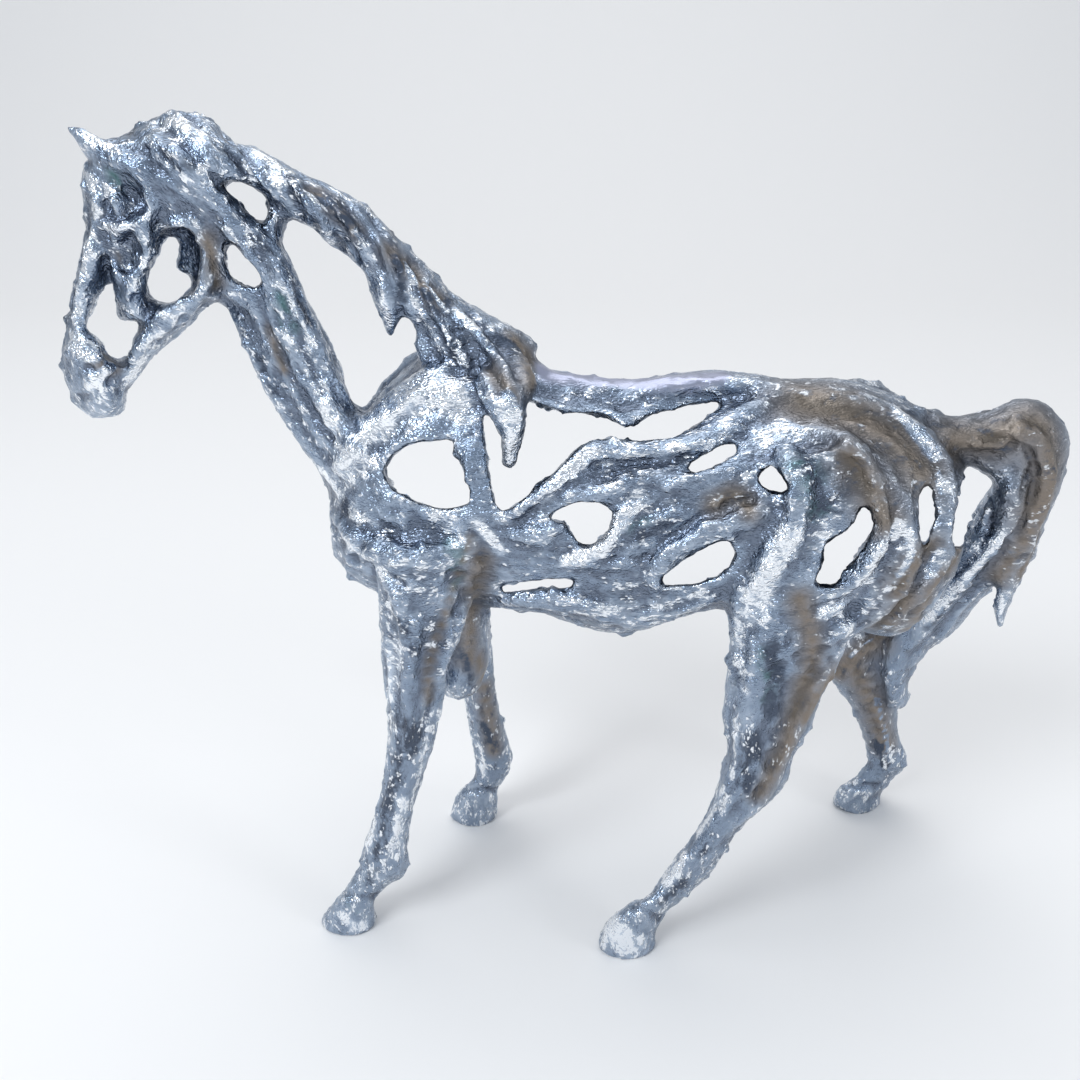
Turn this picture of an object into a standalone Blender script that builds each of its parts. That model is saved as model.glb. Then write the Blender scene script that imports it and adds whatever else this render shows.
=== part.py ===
"""An openwork horse figurine: a walking horse with a dripping mane and tail, cast in one piece of aluminium.

The horse faces -X and its left side faces -Y. It stands on its four hooves on the plane Z = 0.
"""

import math

import bmesh
import bpy
import numpy as np
from mathutils import Vector
from mathutils.bvhtree import BVHTree

# Driving sizes, in metres
HORSE_HEIGHT = 0.350  # from the soles to the top of the forelock
BODY_WALL = 0.0055  # thickness of the hollow body's wall

# The free form is drawn at 350 high, and MM is one millimetre of that drawing.
MM = HORSE_HEIGHT / 350

# The drawing is a sheet of 1080 squares that shows the horse's left side from a little above.
SHEET_CENTRE = 540
SHEET_FOCUS = 1100  # squares from the eye to the sheet
EYE = (0, -423, 377)  # where the eye is, in drawn millimetres
LOOK_DOWN = math.radians(25)

# Fineness of the cast surface
GRAIN = 1.4 * MM
FACE_BUDGET = 9400

# Hollow body, from chest to rump: place along X, lowest, highest, half width
BODY = [
    (-86, 172, 206, 14),
    (-76, 163, 226, 27),
    (-62, 158, 246, 35),
    (-44, 154, 260, 39),
    (-24, 153, 260, 41),
    (0, 151, 251, 43),
    (34, 141, 244, 44),
    (68, 153, 246, 45),
    (100, 153, 248, 47),
    (130, 144, 247, 47),
    (152, 141, 237, 41),
    (168, 160, 222, 28),
    (176, 180, 208, 12),
]

# Limbs and strands. Each row is one cross-section: its two edges on the sheet, then how deep its middle
# lies behind the horse's middle plane and half its thickness, in drawn millimetres.
NECK = [
    (168, 282, 196, 150, 0, 17),
    (196, 290, 226, 160, 0, 17),
    (228, 309, 275, 228, 0, 16),
    (247, 345, 297, 272, 0, 15),
    (262, 383, 320, 325, 0, 16),
    (284, 423, 340, 370, 0, 18),
    (312, 461, 354, 404, 0, 22),
    (327, 490, 392, 430, 0, 27),
    (338, 530, 410, 480, 0, 28),
]
CREST = [
    (196, 122, 215, 196, 0, 15),
    (226, 140, 232, 186, 0, 13),
    (255, 146, 258, 194, 0, 12),
    (281, 161, 278, 214, 0, 12),
    (310, 176, 306, 225, 0, 12),
    (342, 190, 332, 246, 0, 12),
    (370, 206, 352, 262, 0, 11),
    (396, 234, 369, 283, 0, 11),
    (424, 261, 386, 312, 0, 12),
    (448, 287, 412, 330, 0, 13),
    (470, 303, 420, 356, 0, 16),
    (505, 321, 450, 400, 0, 20),
    (529, 335, 490, 408, 0, 16),
    (539, 344, 512, 398, 0, 7),
]
CREST_BRIDGE = [
    (254, 190, 304, 196, 0, 10),
    (265, 214, 291, 219, 0, 10),
    (262, 236, 283, 244, 0, 11),
    (262, 262, 292, 270, 0, 12),
]
MANE_DRIP = [
    (372, 270, 412, 270, -5, 9),
    (372, 300, 404, 308, -6, 9),
    (381, 320, 399, 322, -6, 6),
    (387, 337, 394, 338, -6, 3),
]
SPINE = [
    (508, 330, 500, 400, 0, 16),
    (540, 362, 530, 402, 0, 13),
    (562, 371, 558, 411, 0, 11),
    (590, 375, 588, 415, 0, 10),
    (612, 378, 611, 421, 0, 10),
    (628, 378, 627, 428, 0, 10),
    (644, 377, 644, 417, 0, 10),
    (680, 373, 680, 406, 0, 10),
    (720, 371, 720, 402, 0, 11),
    (760, 374, 760, 410, 0, 14),
    (800, 380, 800, 430, 0, 18),
    (845, 379, 845, 440, 0, 22),
    (886, 392, 880, 450, 0, 22),
    (925, 407, 915, 460, 0, 18),
]
TAIL = [
    (900, 398, 905, 470, 0, 14),
    (945, 415, 950, 462, 0, 12),
    (985, 415, 975, 472, 2, 12),
    (1032, 397, 990, 482, 2, 14),
    (1069, 428, 988, 490, 2, 15),
    (1064, 480, 976, 512, 3, 14),
    (1044, 528, 966, 540, 5, 13),
    (1033, 562, 952, 556, 9, 12),
    (990, 590, 930, 582, 15, 12),
    (957, 630, 906, 612, 22, 11),
    (928, 652, 884, 640, 27, 10),
    (910, 680, 880, 668, 29, 9),
    (909, 700, 886, 700, 30, 7),
    (903, 709, 893, 710, 30, 3),
]
TAIL_DRIP = [
    (1000, 560, 1032, 560, 3, 7),
    (996, 590, 1018, 588, 2, 6),
    (994, 612, 1008, 610, 1, 5),
    (996, 630, 1005, 626, 1, 3),
]
BIG_DRIP = [
    (484, 352, 520, 350, -12, 8),
    (478, 370, 532, 366, -23, 9),
    (476, 388, 538, 384, -30, 9),
    (484, 408, 528, 404, -32, 9),
    (493, 422, 526, 420, -33, 8),
    (500, 440, 524, 440, -34, 7),
    (501, 458, 519, 458, -34, 6),
    (503, 469, 513, 469, -34, 4),
]
NEAR_FORELEG = [
    (372, 545, 470, 545, -33, 12),
    (377, 585, 462, 590, -34, 13),
    (378, 620, 456, 640, -34, 12),
    (384, 665, 448, 676, -34, 11),
    (386, 710, 440, 716, -34, 10),
    (387, 745, 432, 748, -34, 10),
    (383, 782, 421, 786, -34, 9),
    (375, 812, 413, 814, -34, 9),
    (364, 842, 408, 844, -34, 9),
    (359, 866, 407, 872, -34, 9),
    (346, 884, 382, 890, -34, 8),
    (335, 900, 375, 902, -34, 10),
    (321, 919, 377, 916, -34, 10),
    (320, 940, 376, 940, -34, 10),
    (320, 968, 374, 968, -34, 10),
]
FAR_FORELEG = [
    (440, 560, 494, 560, 30, 12),
    (446, 610, 490, 610, 32, 12),
    (456, 660, 493, 655, 34, 11),
    (464, 700, 498, 700, 36, 9),
    (469, 735, 507, 735, 38, 8),
    (475, 760, 514, 757, 40, 8),
    (473, 778, 506, 778, 41, 8),
    (460, 789, 498, 790, 42, 9),
    (450, 812, 498, 808, 42, 10),
    (452, 832, 495, 832, 42, 10),
    (452, 852, 495, 852, 42, 10),
]
BRISKET = [
    (400, 560, 490, 560, 0, 24),
    (418, 620, 490, 620, -6, 22),
    (430, 662, 490, 662, -11, 17),
    (438, 684, 482, 684, -13, 14),
    (446, 698, 470, 698, -14, 9),
]
NEAR_HINDLEG = [
    (738, 470, 870, 440, -30, 14),
    (726, 540, 880, 520, -33, 15),
    (724, 590, 862, 590, -36, 15),
    (729, 640, 846, 650, -38, 13),
    (724, 685, 824, 695, -40, 12),
    (722, 722, 811, 728, -42, 11),
    (727, 752, 793, 757, -44, 10),
    (718, 784, 788, 782, -45, 10),
    (706, 815, 766, 806, -46, 9),
    (690, 843, 737, 832, -46, 9),
    (667, 868, 716, 868, -47, 8),
    (651, 893, 694, 889, -47, 8),
    (632, 901, 668, 912, -48, 9),
    (606, 921, 657, 932, -48, 10),
    (597, 943, 657, 945, -48, 10),
    (600, 965, 657, 965, -48, 10),
    (602, 990, 657, 990, -48, 10),
]
FAR_HINDLEG = [
    (800, 560, 950, 520, 32, 14),
    (805, 610, 946, 580, 35, 14),
    (812, 650, 912, 640, 38, 13),
    (832, 682, 900, 690, 41, 11),
    (850, 706, 898, 718, 44, 9),
    (862, 736, 901, 741, 47, 8),
    (868, 762, 908, 762, 49, 8),
    (856, 774, 893, 779, 51, 8),
    (838, 788, 880, 795, 52, 10),
    (832, 803, 881, 804, 52, 10),
    (842, 818, 876, 820, 52, 10),
    (845, 840, 874, 840, 52, 10),
]
HEAD_TOP = [
    (98, 150, 96, 200, 0, 12),
    (132, 130, 118, 225, 0, 17),
    (160, 114, 150, 236, 0, 19),
    (192, 111, 180, 240, 0, 20),
    (218, 124, 205, 250, 0, 19),
    (228, 150, 224, 238, 0, 16),
]
NOSE_BRIDGE = [
    (86, 160, 125, 152, 0, 12),
    (80, 185, 122, 185, 0, 13),
    (86, 222, 118, 222, 0, 12),
    (80, 256, 108, 262, 0, 11),
    (73, 290, 103, 290, 0, 10),
    (67, 322, 94, 322, 0, 11),
    (62, 348, 92, 348, 0, 13),
]
MUZZLE = [
    (66, 326, 92, 326, 0, 12),
    (62, 346, 106, 340, 0, 16),
    (61, 366, 128, 362, 0, 18),
    (68, 390, 128, 388, 0, 17),
    (82, 411, 125, 410, 0, 14),
    (95, 419, 118, 416, 0, 9),
]
CHEEK = [
    (104, 210, 168, 205, 0, 18),
    (108, 240, 166, 240, 0, 18),
    (112, 270, 152, 270, 0, 18),
    (113, 296, 150, 294, 0, 17),
    (120, 322, 152, 320, 0, 15),
]
JAW = [
    (112, 392, 112, 356, 0, 13),
    (132, 386, 127, 352, 0, 13),
    (153, 359, 138, 326, 0, 15),
    (179, 335, 158, 297, 0, 17),
    (205, 308, 184, 288, 0, 18),
    (230, 290, 190, 262, 0, 18),
    (232, 250, 198, 236, 0, 17),
]
EAR = [
    (128, 134, 138, 178, -7, 8),
    (105, 139, 104, 168, -8, 6),
    (84, 130, 86, 156, -8, 5),
    (70, 125, 73, 140, -8, 3.5),
    (62, 123, 66, 129, -8, 2),
]
FAR_EAR = [
    (128, 140, 138, 178, 9, 7),
    (107, 143, 110, 160, 10, 5),
    (90, 138, 95, 148, 10, 3),
    (82, 137, 84, 143, 10, 1.5),
]

# Openings that go right through the casting, as their outlines on the sheet
OPENINGS = {
    "muzzle": [(102, 286), (116, 284), (115, 305), (122, 320), (143, 320), (134, 337), (127, 361),
               (103, 359), (101, 339), (85, 329), (95, 300)],
    "cheek": [(173, 237), (182, 244), (176, 262), (178, 273), (192, 275), (191, 291), (172, 303),
              (147, 297), (148, 275), (162, 248)],
    "behind_jaw": [(227, 238), (244, 254), (258, 266), (262, 282), (252, 290), (234, 280), (225, 263)],
    "poll": [(223, 181), (239, 181), (265, 194), (269, 210), (263, 225), (238, 204), (223, 194)],
    "neck": [(291, 217), (316, 230), (333, 250), (349, 258), (366, 273), (371, 304), (381, 320), (391, 337),
             (399, 318), (410, 318), (418, 346), (397, 356), (385, 367), (377, 391), (365, 405), (351, 403),
             (343, 375), (328, 338), (308, 304), (294, 269), (281, 245), (288, 231)],
    "shoulder": [(454, 440), (431, 442), (407, 446), (384, 469), (397, 491), (438, 508), (469, 504),
                 (469, 488), (458, 460)],
    "under_spine": [(486, 400), (530, 401), (560, 412), (605, 415), (625, 429), (656, 413), (725, 400),
                    (708, 416), (680, 435), (640, 441), (592, 439), (569, 456), (548, 478), (513, 506),
                    (498, 509), (490, 470), (485, 430)],
    "ribs": [(544, 518), (564, 507), (585, 501), (612, 508), (608, 532), (588, 547), (576, 539), (565, 523)],
    "girth": [(499, 592), (501, 585), (535, 580), (570, 578), (576, 583), (570, 588), (542, 589), (513, 592)],
    "flank_upper": [(683, 471), (703, 456), (728, 443), (738, 445), (735, 455), (708, 470), (690, 474)],
    "flank_hole": [(772, 463), (756, 479), (770, 491), (791, 493), (781, 473)],
    "flank_lower": [(662, 585), (663, 576), (703, 549), (726, 540), (736, 552), (729, 568), (700, 583)],
    "hip": [(863, 501), (856, 517), (845, 532), (825, 542), (823, 562), (814, 583), (827, 588), (841, 578),
            (869, 539), (874, 518)],
    "rump_slot": [(927, 481), (919, 500), (919, 534), (926, 551), (934, 520), (934, 497)],
    "tail_root": [(965, 464), (979, 472), (995, 483), (978, 501), (967, 538), (958, 548), (951, 540),
                  (956, 516), (957, 495), (963, 483)],
}
OPENING_REACH = 120  # how far an opening's cutter runs to each side of the middle plane

# Hollows in the near side only: outline, and how deep they end
POCKETS = {
    "eye_socket": ([(106, 180), (124, 172), (142, 186), (148, 204), (138, 218), (114, 220), (104, 204)],
                   -12.5),
    "cheek_pit": ([(112, 244), (128, 236), (142, 246), (142, 264), (128, 277), (116, 268)], -11),
    "cheek_mouth": ([(154, 240), (172, 227), (194, 230), (201, 250), (199, 282), (188, 298), (150, 296)], 2),
}

# Raised strands that run over both sides of the skin: half width in millimetres, then places on the sheet
STRANDS = {
    "throat": (4, [(230, 306), (252, 340), (270, 380), (292, 418), (318, 454), (345, 500)]),
    "neck_side": (4, [(200, 205), (235, 235), (270, 270), (295, 320), (315, 370), (340, 420), (375, 460)]),
    "neck_back": (3.5, [(268, 228), (284, 265), (300, 302), (320, 347), (335, 387), (350, 414)]),
    "poll": (4, [(150, 165), (185, 185), (225, 212), (262, 240)]),
    "forelock": (4, [(142, 140), (170, 150), (205, 165), (230, 185)]),
    "brow": (3, [(100, 165), (128, 165), (150, 190), (146, 222), (118, 228), (102, 222)]),
    "cheek_rim": (4, [(148, 300), (150, 262), (168, 230), (192, 226), (206, 250), (204, 282), (186, 304)]),
    "nose": (3, [(98, 225), (92, 262), (85, 300), (78, 335)]),
    "jaw": (3.5, [(126, 374), (146, 340), (172, 312), (203, 292)]),
    "lock_1": (5, [(205, 140), (235, 168), (262, 200), (276, 240)]),
    "lock_2": (4, [(248, 160), (275, 185), (300, 218)]),
    "lock_3": (4, [(285, 178), (310, 200), (330, 235), (340, 255)]),
    "lock_4": (4.5, [(325, 198), (355, 228), (370, 270), (386, 310)]),
    "lock_5": (5, [(368, 222), (390, 255), (405, 300), (428, 350), (450, 390)]),
    "lock_6": (4.5, [(412, 268), (432, 305), (455, 350), (485, 395)]),
    "lock_7": (4.5, [(450, 306), (475, 335), (500, 365), (512, 400)]),
    "shoulder": (7, [(340, 470), (365, 440), (400, 408), (445, 392), (490, 400)]),
    "shoulder_upper": (6.5, [(362, 450), (386, 418), (416, 390), (452, 376), (492, 380)]),
    "rib_top": (5, [(490, 520), (530, 500), (560, 478), (592, 452), (640, 453), (690, 445), (740, 418),
                    (790, 395)]),
    "rib_middle": (5, [(500, 530), (540, 535), (565, 512), (600, 495), (650, 480), (700, 480), (755, 460)]),
    "rib_lower": (5, [(560, 560), (598, 552), (620, 520), (642, 498)]),
    "belly": (5, [(492, 600), (540, 597), (590, 604), (630, 616), (680, 604), (725, 590)]),
    "flank": (5, [(655, 600), (662, 560), (700, 532), (745, 520), (775, 500)]),
    "haunch_front": (7, [(748, 600), (772, 560), (792, 520), (797, 480), (780, 445)]),
    "hip_arc": (5, [(790, 430), (840, 440), (868, 470), (884, 520), (868, 565), (835, 602)]),
    "thigh_arc": (4.5, [(800, 642), (850, 626), (890, 597), (909, 560), (906, 520), (890, 480)]),
    "rump": (5, [(870, 408), (912, 430), (940, 462), (945, 510), (940, 560), (900, 610), (850, 650)]),
    "shoulder_point": (5, [(335, 515), (365, 545), (410, 560), (450, 555), (480, 530)]),
    "forearm_front": (5, [(378, 565), (402, 600), (412, 650), (410, 700), (410, 750)]),
    "forearm_back": (5, [(460, 515), (468, 560), (455, 620), (432, 690)]),
    "gaskin": (5, [(770, 600), (762, 660), (748, 720), (752, 770), (722, 815)]),
    "hock_cord": (4, [(850, 625), (815, 690), (785, 745), (768, 788), (735, 825)]),
    "tail_outer": (5, [(930, 440), (980, 438), (1022, 432), (1045, 470), (1028, 530), (1008, 560)]),
    "tail_inner": (5, [(975, 455), (1010, 480), (1005, 525), (975, 560), (940, 605), (900, 655)]),
}

RING_SIDES = 16
STATION_STEPS = 4
BODY_SQUARENESS = 0.9  # power of the body's cross-section, where 1 is an ellipse and less is squarer
STRAND_SIDES = 8
STRAND_TIP = 0.4  # a strand's width at its end, as a share of its full width
STRAND_TAPER = 3  # how many steps a strand takes to reach its full width
STRAND_LEAP = 14  # a strand ends where the skin under its next place is further off than this
SUNK = 0.35  # share of its half width that a strand's middle lies under the skin
SOFTEN_ROUNDS = 3


def clear_scene():
    for obj in list(bpy.data.objects):
        bpy.data.objects.remove(obj)


def spot(u, v, depth):
    """The point that the sheet shows at (u, v), at a depth in drawn millimetres behind the middle plane."""
    across = (u - SHEET_CENTRE) / SHEET_FOCUS
    rise = (SHEET_CENTRE - v) / SHEET_FOCUS
    forward = math.cos(LOOK_DOWN) + rise * math.sin(LOOK_DOWN)
    upward = rise * math.cos(LOOK_DOWN) - math.sin(LOOK_DOWN)
    reach = (depth - EYE[1]) / forward
    return ((EYE[0] + across * reach) * MM, depth * MM, (EYE[2] + upward * reach) * MM)


def smooth_rows(rows, steps, closed=False):
    """Rows of numbers with steps - 1 more between each two, on a Catmull-Rom curve through them all."""
    rows = np.array(rows, float)
    count = len(rows)
    if closed:
        spans = [rows[[i - 1, i, (i + 1) % count, (i + 2) % count]] for i in range(count)]
    else:
        spans = [rows[[max(i - 1, 0), i, i + 1, min(i + 2, count - 1)]] for i in range(count - 1)]
    found = []
    for before, start, end, after in spans:
        for t in np.arange(steps) / steps:
            found.append(0.5 * (
                2 * start
                + (end - before) * t
                + (2 * before - 5 * start + 4 * end - after) * t**2
                + (3 * start - before - 3 * end + after) * t**3
            ))
    if not closed:
        found.append(rows[-1])
    return found


def skin_rings(bm, rings):
    """Closed skin over a row of rings that have the same number of points."""
    loops = [[bm.verts.new(point) for point in ring] for ring in rings]
    faces = [bm.faces.new(loops[0]), bm.faces.new(loops[-1])]
    for first, second in zip(loops, loops[1:]):
        for i in range(len(first)):
            j = (i + 1) % len(first)
            faces.append(bm.faces.new((first[i], first[j], second[j], second[i])))
    bmesh.ops.recalc_face_normals(bm, faces=faces)


def add_body(bm, wall):
    """The barrel of the body, its skin drawn in by the given wall."""
    rows = smooth_rows(BODY, STATION_STEPS)
    inset = wall / MM
    rings = []
    for x, low, high, half_width in rows[2:-2] if wall else rows:
        middle = (low + high) / 2
        half_height = (high - low) / 2 - inset
        width = half_width - inset
        ring = []
        for k in range(2 * RING_SIDES):
            angle = math.tau * k / (2 * RING_SIDES)
            y = width * math.copysign(abs(math.cos(angle)) ** BODY_SQUARENESS, math.cos(angle))
            z = middle + half_height * math.copysign(abs(math.sin(angle)) ** BODY_SQUARENESS, math.sin(angle))
            ring.append((x * MM, y * MM, z * MM))
        rings.append(ring)
    skin_rings(bm, rings)


def add_limb(bm, sections):
    """A limb through its cross-sections, each an ellipse that spans its two edges on the sheet."""
    rings = []
    for u0, v0, u1, v1, depth, thick in smooth_rows(sections, STATION_STEPS):
        ring = []
        for k in range(RING_SIDES):
            angle = math.tau * k / RING_SIDES
            share = (1 + math.cos(angle)) / 2
            ring.append(spot(u0 + (u1 - u0) * share, v0 + (v1 - v0) * share, depth + thick * math.sin(angle)))
        rings.append(ring)
    skin_rings(bm, rings)


def add_opening(bm, outline, start, end):
    """A cutter whose outline on the sheet is carried along the lines of sight between two depths."""
    outline = smooth_rows(outline, 2, closed=True)
    skin_rings(bm, [[spot(u, v, depth) for u, v in outline] for depth in (start, end)])


def lay_strand(skin, half_width, places, side):
    """Runs of middles of a strand half sunk in the skin, on the left (side 1) or the right (side -1)."""
    eye = Vector(EYE) * MM
    runs = [[]]
    for u, v in smooth_rows(places, STATION_STEPS):
        toward = Vector(spot(u, v, 0)) - eye
        toward.normalize()
        turned = Vector((1, side, 1))
        hit = skin.ray_cast(eye * turned, toward * turned)[0]
        if not hit:
            runs.append([])
            continue
        middle = hit + toward * turned * half_width * SUNK * MM
        if runs[-1] and (middle - runs[-1][-1]).length > STRAND_LEAP * MM:
            runs.append([])
        runs[-1].append(middle)
    return [run for run in runs if len(run) > STRAND_TAPER]


def add_strand(bm, middles, half_width):
    """A round strand through its middles."""
    last = len(middles) - 1
    rings = []
    for i, middle in enumerate(middles):
        swelling = min(1, min(i, last - i) / STRAND_TAPER)
        radius = half_width * MM * (STRAND_TIP + (1 - STRAND_TIP) * swelling)
        along = (middles[min(i + 1, last)] - middles[max(i - 1, 0)]).normalized()
        out = along.cross(Vector((0, 1, 0)).cross(along)).normalized()
        across = along.cross(out)
        ring = []
        for k in range(STRAND_SIDES):
            angle = math.tau * k / STRAND_SIDES
            ring.append(middle + radius * (math.cos(angle) * out + math.sin(angle) * across))
        rings.append(ring)
    skin_rings(bm, rings)


def to_object(name, bm):
    mesh = bpy.data.meshes.new(name)
    bm.to_mesh(mesh)
    bm.free()
    obj = bpy.data.objects.new(name, mesh)
    bpy.context.scene.collection.objects.link(obj)
    return obj


def evaluated_mesh(obj):
    graph = bpy.context.evaluated_depsgraph_get()
    graph.update()
    return bpy.data.meshes.new_from_object(obj.evaluated_get(graph))


def cut(obj, cutter):
    difference = obj.modifiers.new(cutter.name, "BOOLEAN")
    difference.operation = "DIFFERENCE"
    difference.object = cutter
    difference.use_self = True


def make_masses():
    """The hollow body with the limbs and strands that the openings pass through."""
    bm = bmesh.new()
    add_body(bm, 0)
    body = to_object("body", bm)
    bm = bmesh.new()
    add_body(bm, BODY_WALL)
    hollow = to_object("body_hollow", bm)
    cut(body, hollow)
    bm = bmesh.new()
    bm.from_mesh(evaluated_mesh(body))
    for sections in (NECK, CREST, CREST_BRIDGE, TAIL, NEAR_FORELEG, FAR_FORELEG, BRISKET, NEAR_HINDLEG,
                     FAR_HINDLEG, HEAD_TOP, NOSE_BRIDGE, MUZZLE, CHEEK, JAW):
        add_limb(bm, sections)
    skin = BVHTree.FromBMesh(bm)
    for half_width, places in STRANDS.values():
        for side in (1, -1):
            for middles in lay_strand(skin, half_width, places, side):
                add_strand(bm, middles, half_width)
    for helper in (body, hollow):
        bpy.data.objects.remove(helper)
    return to_object("masses", bm)


def make_openings():
    """The cutter for all the openings and pockets."""
    bm = bmesh.new()
    for outline in OPENINGS.values():
        add_opening(bm, outline, -OPENING_REACH, OPENING_REACH)
    for outline, end in POCKETS.values():
        add_opening(bm, outline, -OPENING_REACH, end)
    return to_object("openings", bm)


def cast(masses, openings):
    """The whole casting as one fused skin with its openings cut and every edge run soft."""
    cut(masses, openings)
    bm = bmesh.new()
    bm.from_mesh(evaluated_mesh(masses))
    for sections in (SPINE, BIG_DRIP, MANE_DRIP, TAIL_DRIP, EAR, FAR_EAR):
        add_limb(bm, sections)
    whole = to_object("horse", bm)
    fuse = whole.modifiers.new("fuse", "REMESH")
    fuse.mode = "VOXEL"
    fuse.voxel_size = GRAIN
    soften = whole.modifiers.new("soften", "SMOOTH")
    soften.iterations = SOFTEN_ROUNDS
    return whole


def thin_out(obj):
    """Fewer triangles, kept where the form turns."""
    count = len(evaluated_mesh(obj).polygons) * 2
    thin = obj.modifiers.new("thin", "DECIMATE")
    thin.ratio = FACE_BUDGET / count
    thin.use_collapse_triangulate = True


def stand_on_soles(obj):
    """Flat soles at Z = 0, with the box round the horse centred over the origin."""
    bm = bmesh.new()
    bm.from_mesh(evaluated_mesh(obj))
    geometry = bm.verts[:] + bm.edges[:] + bm.faces[:]
    bmesh.ops.bisect_plane(bm, geom=geometry, plane_co=(0, 0, 0), plane_no=(0, 0, 1), clear_inner=True)
    bmesh.ops.holes_fill(bm, edges=[edge for edge in bm.edges if edge.is_boundary])
    bmesh.ops.triangulate(bm, faces=bm.faces)
    places = np.array([vert.co for vert in bm.verts])
    middle = (places.min(axis=0) + places.max(axis=0)) / 2
    obj.location = (-middle[0], -middle[1], 0)
    obj.modifiers.clear()
    bm.to_mesh(obj.data)
    bm.free()


def polished_aluminium():
    material = bpy.data.materials.new("polished_aluminium")
    material.use_nodes = True
    shader = material.node_tree.nodes["Principled BSDF"]
    shader.inputs["Base Color"].default_value = (0.62, 0.67, 0.74, 1)
    shader.inputs["Metallic"].default_value = 1
    shader.inputs["Roughness"].default_value = 0.2
    return material


def main():
    clear_scene()
    masses = make_masses()
    openings = make_openings()
    horse = cast(masses, openings)
    thin_out(horse)
    stand_on_soles(horse)
    horse.data.materials.append(polished_aluminium())
    horse.data.shade_smooth()
    for helper in (masses, openings):
        bpy.data.objects.remove(helper)


main()
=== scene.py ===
import math
import random

import bmesh
import bpy
import numpy as np
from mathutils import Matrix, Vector
from mathutils.bvhtree import BVHTree


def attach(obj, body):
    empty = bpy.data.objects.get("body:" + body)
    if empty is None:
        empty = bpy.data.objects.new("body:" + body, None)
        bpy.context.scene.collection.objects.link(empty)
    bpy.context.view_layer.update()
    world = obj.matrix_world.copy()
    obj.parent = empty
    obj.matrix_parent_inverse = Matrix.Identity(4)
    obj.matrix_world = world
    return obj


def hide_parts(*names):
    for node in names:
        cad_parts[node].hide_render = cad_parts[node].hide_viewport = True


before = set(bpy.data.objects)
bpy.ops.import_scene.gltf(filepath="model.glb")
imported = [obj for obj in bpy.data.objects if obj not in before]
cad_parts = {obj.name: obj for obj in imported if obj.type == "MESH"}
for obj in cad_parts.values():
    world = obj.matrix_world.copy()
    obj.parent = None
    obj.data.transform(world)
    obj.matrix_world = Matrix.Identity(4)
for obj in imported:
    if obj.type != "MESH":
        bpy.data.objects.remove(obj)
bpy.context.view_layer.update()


# The casting is one hollow openwork shell, poured in aluminium. Its form is the solid's own, and the
# runs, folds and creases of the melt are laid on it where a line of sight from the front meets it.
EYE = Vector((-0.0142, -0.4249, 0.377))
LOOK_DOWN = math.radians(25)
SHEET_CENTRE = 540
SHEET_FOCUS = 1100
FAR_START = 0.2  # how far out on the right side the rays for that side start
HANG_LIMIT = 0.012  # a longer jump between two points means that a line has crossed an opening


def mesh_object(name, mesh):
    obj = bpy.data.objects.new(name, mesh)
    bpy.context.scene.collection.objects.link(obj)
    return obj


def mesh_from(name, bm):
    mesh = bpy.data.meshes.new(name)
    bm.to_mesh(mesh)
    bm.free()
    return mesh


def evaluated(obj):
    """The object's mesh with its modifiers, as a mesh of its own."""
    graph = bpy.context.evaluated_depsgraph_get()
    graph.update()
    return bpy.data.meshes.new_from_object(obj.evaluated_get(graph))


merged = bmesh.new()
merged.from_mesh(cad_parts["horse"].data)
bmesh.ops.remove_doubles(merged, verts=merged.verts, dist=1e-6)
skin = BVHTree.FromBMesh(merged)
casting = mesh_object("horse_casting", mesh_from("horse_casting", merged))


def sight(u, v):
    """The direction in which the eye sees the place (u, v) of a sheet of 1080 squares."""
    across = (u - SHEET_CENTRE) / SHEET_FOCUS
    rise = (SHEET_CENTRE - v) / SHEET_FOCUS
    return Vector((
        across,
        math.cos(LOOK_DOWN) + rise * math.sin(LOOK_DOWN),
        rise * math.cos(LOOK_DOWN) - math.sin(LOOK_DOWN),
    )).normalized()


def smooth_places(places, steps=5):
    """More places on a smooth curve through the given ones."""
    rows = np.array(places, float)
    last = len(rows) - 1
    found = []
    for i in range(last):
        before, start, end, after = rows[[max(i - 1, 0), i, i + 1, min(i + 2, last)]]
        for t in np.arange(steps) / steps:
            found.append(0.5 * (
                2 * start
                + (end - before) * t
                + (2 * before - 5 * start + 4 * end - after) * t**2
                + (3 * start - before - 3 * end + after) * t**3
            ))
    found.append(rows[-1])
    return found


def lay_line(places, far=False):
    """Runs of points where a line on the sheet meets the left side or, from behind, the right side."""
    runs = [[]]
    for u, v in smooth_places(places):
        toward = sight(u, v)
        hit = skin.ray_cast(EYE, toward)[0]
        if hit and far:
            hit = skin.ray_cast(Vector((hit.x, FAR_START, hit.z)), Vector((0, -1, 0)))[0]
        if not hit or (runs[-1] and (hit - runs[-1][-1]).length > HANG_LIMIT):
            runs.append([])
        if hit:
            runs[-1].append(hit)
    return [run for run in runs if len(run) > 2]


# Runs and threads of metal follow the limbs, where the melt flowed down them in the mould. Between each
# pair of edge lines a few are drawn, broken off and wavering as a poured metal is.
RUN_SEED = 7
RUN_WIDTH = (0.0009, 0.0019)
RUN_WAVER = 0.10  # as a share of the way between the edge lines
RUN_STEPS = 14
RUN_START = (0, 0.45)
RUN_LENGTH = (0.3, 0.75)
RUN_EDGE = 0.02  # how near to an edge line a run may come
TIP_WIDTH = 0.35  # a run's width at its end, as a share of its full width
TIP_STEPS = 3
TUBE_SIDES = 8
BEAD_DENSITY = 2500.0
BEAD_SIZE = 0.0022

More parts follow.
